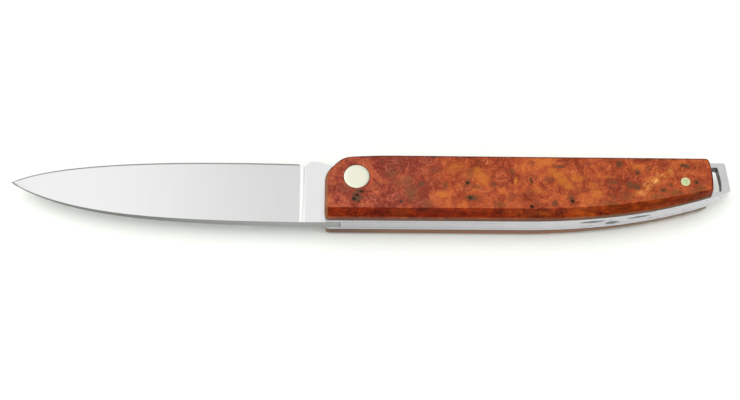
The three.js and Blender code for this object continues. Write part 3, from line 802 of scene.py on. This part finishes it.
# The lower scale comes from the next layer of the same block: its marks are shifted a little,
# and the first few of some kinds are gone.
GONE_BELOW = {"gold": 3, "fleck": 4, "grey": 5, "dark eye": 9, "pit": 5}
lower_marks = {
    kind: [
        (along + 2.0, 0.85 * across - 0.4, half_length, half_width, strength)
        for along, across, half_length, half_width, strength in listed[GONE_BELOW.get(kind, 0):]
    ]
    for kind, listed in upper_marks.items()
}


def on_facet(at, way):
    return way.y < -0.25 and 0.35 < abs(way.z) < 0.97


def on_spine_side(at, way):
    return way.y < -0.5 and abs(way.z) < 0.35


def on_rim(at, way):
    """The sanded edge along the blade's opening and the butt."""
    slanted = 0.2 < abs(way.z) < 0.97
    return slanted and (way.y > 0.2 or (way.x > 0.3 and way.y > -0.25))


def on_front_edge(at, way):
    return 0.2 < abs(way.z) < 0.97 and way.x < -0.3


upper_burl = burl_wood("burl_wood_upper", (3.0, 7.0, 1.0), upper_marks)
lower_burl = burl_wood("burl_wood_lower", (31.0, 52.0, 9.0), lower_marks)
for node, burl in (("lower_scale", lower_burl), ("upper_scale", upper_burl)):
    scale = merged_copy(node, "burl_" + node)
    ease_edges(scale, EASED_BY_SANDING, sharper_than=50.0, segments=1)
    mark_faces(scale, "facet", on_facet)
    mark_faces(scale, "side", on_spine_side)
    mark_faces(scale, "rim", on_rim)
    # The front edge is marked for a painted highlight.
    mark_faces(scale, "worn", on_front_edge)
    settle(scale, [burl], "handle", "burl_wood", node, smooth_below=35.0)


# Rosettes: a disc of nickel silver over each end of the pivot pin.
# It is turned with a very low crown, let into the wood, and polished nearly flush with it. The
# crown is made in steps, and each is given by its width inwards and its rise.
CROWN_STEPS = ((0.06, 0.020), (0.75, 0.012), (0.95, 0.006), (0.90, 0.003))


def round_bar(name, low, high, sides):
    """A round bar that fills the box between two corners, left in edit mode."""
    bpy.ops.object.select_all(action="DESELECT")
    bpy.ops.mesh.primitive_cylinder_add(
        vertices=sides,
        radius=(high.x - low.x) / 2.0,
        depth=high.z - low.z,
        location=(low + high) / 2.0,
    )
    bar = bpy.context.object
    bar.name = name
    bpy.ops.object.transform_apply()
    bpy.ops.object.mode_set(mode="EDIT")
    return bar


def pick_faces(piece, chosen):
    """Selects, on a piece in edit mode, the faces that chosen picks by their normal."""
    bpy.ops.mesh.select_mode(type="FACE")
    bpy.ops.mesh.select_all(action="DESELECT")
    bpy.ops.object.mode_set(mode="OBJECT")
    for face in piece.data.polygons:
        face.select = chosen(face.normal)
    bpy.ops.object.mode_set(mode="EDIT")


nickel_silver = polished_steel(
    "nickel_silver",
    dull=(0.62, 0.615, 0.51),
    bright=(0.74, 0.735, 0.61),
    roughness=0.30,
    lines_per_mm=(2.0, 2.0, 2.0),
)
for node, up in (("lower_rosette", -1.0), ("upper_rosette", 1.0)):
    low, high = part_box(node)
    outer = high if up > 0.0 else low
    outer.z -= up * sum(rise for step, rise in CROWN_STEPS) * MM
    rosette = round_bar("silver_" + node, low, high, sides=96)
    pick_faces(rosette, lambda way: way.z * up > 0.9)
    for step, rise in CROWN_STEPS:
        bpy.ops.mesh.inset(thickness=step * MM, depth=rise * MM)
    bpy.ops.object.mode_set(mode="OBJECT")
    settle(rosette, [nickel_silver], "handle", "nickel_silver", node, smooth_below=40.0)


# Rear pin: a nickel silver tube with a paler core, through the whole handle.
# Both ends are filed flush with the wood, so that each shows as a ring, with a fine groove
# between the tube and its core.
END_STEPS = ((0.08, 0.0), (0.50, 0.0), (0.05, -0.04), (0.06, 0.03), (0.25, 0.01))
CORE_RADIUS = 0.62
pin_silver = polished_steel(
    "pin_silver",
    dull=(0.60, 0.58, 0.30),
    bright=(0.78, 0.76, 0.45),
    roughness=0.35,
    lines_per_mm=(3.0, 3.0, 3.0),
)
pin_core = polished_steel(
    "pin_core",
    dull=(0.47, 0.61, 0.33),
    bright=(0.60, 0.74, 0.44),
    roughness=0.45,
    lines_per_mm=(3.0, 3.0, 3.0),
)
low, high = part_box("rear_pin")
rear_pin = round_bar("silver_rear_pin", low, high, sides=64)
pick_faces(rear_pin, lambda way: abs(way.z) > 0.9)
for step, rise in END_STEPS:
    bpy.ops.mesh.inset(thickness=step * MM, depth=rise * MM, use_individual=True)
bpy.ops.object.mode_set(mode="OBJECT")
pin_middle = (low + high) / (2.0 * MM)
for face in rear_pin.data.polygons:
    from_axis = (face.center / MM - pin_middle).to_2d().length
    face.material_index = int(abs(face.normal.z) > 0.5 and from_axis < CORE_RADIUS)
settle(rear_pin, [pin_silver, pin_core], "handle", "nickel_silver", "rear_pin")
